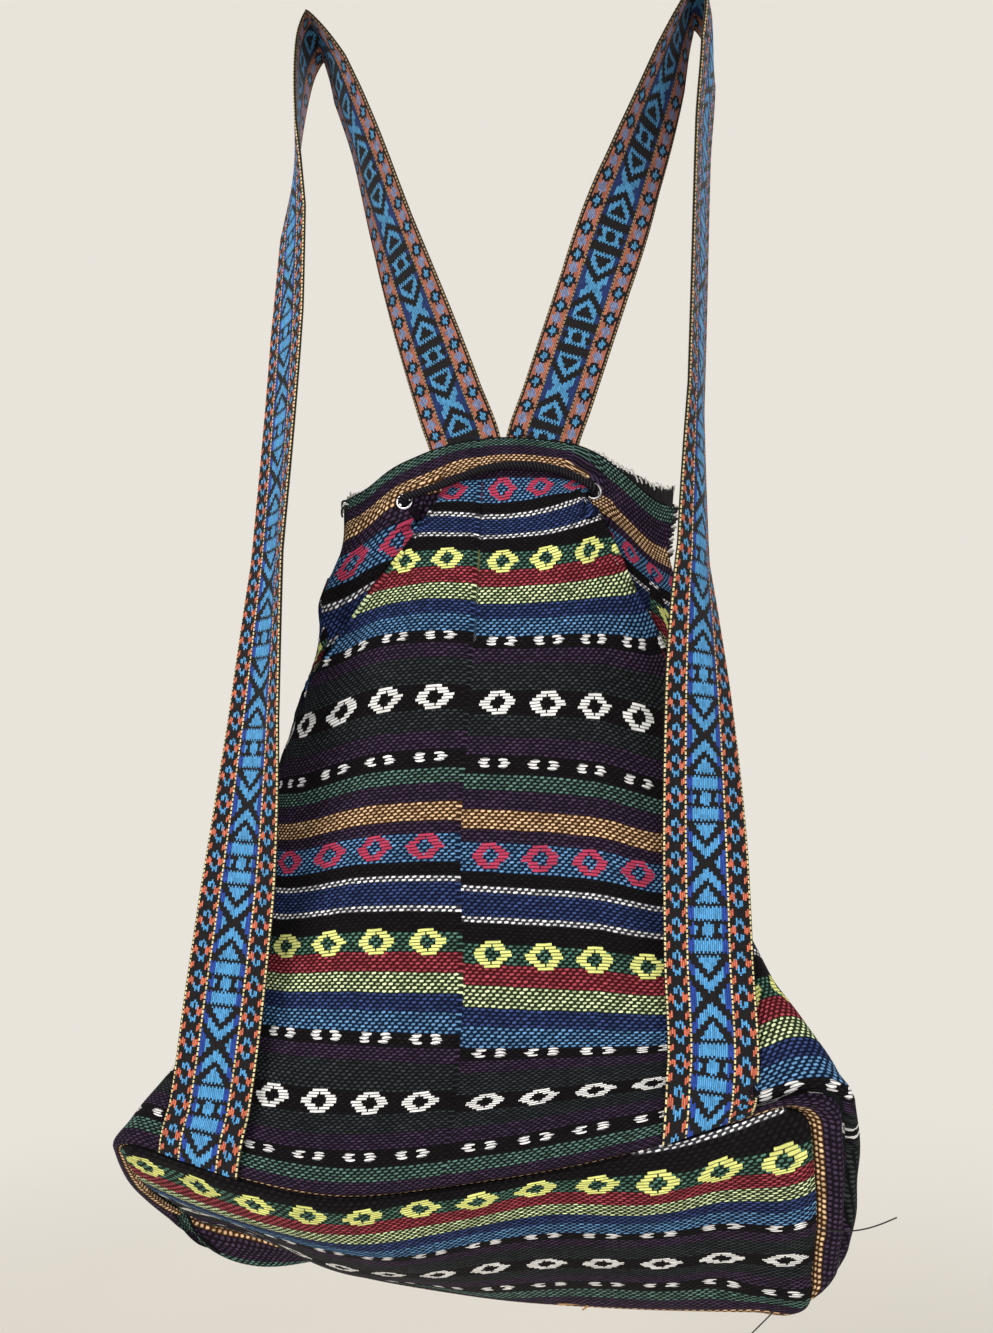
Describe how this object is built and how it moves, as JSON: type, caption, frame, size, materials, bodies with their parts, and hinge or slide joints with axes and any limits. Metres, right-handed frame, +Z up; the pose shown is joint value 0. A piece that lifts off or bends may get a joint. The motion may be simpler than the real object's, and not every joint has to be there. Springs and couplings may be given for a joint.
{
  "type": "drawstring backpack",
  "caption": "Drawstring backpack of striped woven cotton with a gathered mouth, cord threaded through metal eyelets, a rounded base panel and patterned shoulder straps.",
  "frame": {"origin": "midway between the two hooks that the straps hang on, at the height of the hooks", "axes": "+Z up, +X to the right seen from the wearer's side, +Y from the wearer's side to the front of the bag, along the hooks"},
  "size_m": [0.3417, 0.1334, 0.6984],
  "materials": {
    "weave": "coarse striped cotton, matte",
    "band": "patterned woven band, matte",
    "cord": "black braided cord",
    "nickel": "bright nickel plate"
  },
  "bodies": {
    "root": {"bag_body": "weave", "base_panel": "weave", "strap_left": "band", "strap_right": "band", "drawcord": "cord", "cord_tail_right": "cord", "cord_tail_left": "cord", "eyelet_1": "nickel", "eyelet_2": "nickel", "eyelet_3": "nickel", "eyelet_4": "nickel", "eyelet_5": "nickel", "eyelet_6": "nickel", "eyelet_7": "nickel", "eyelet_8": "nickel"}
  },
  "joints": []
}
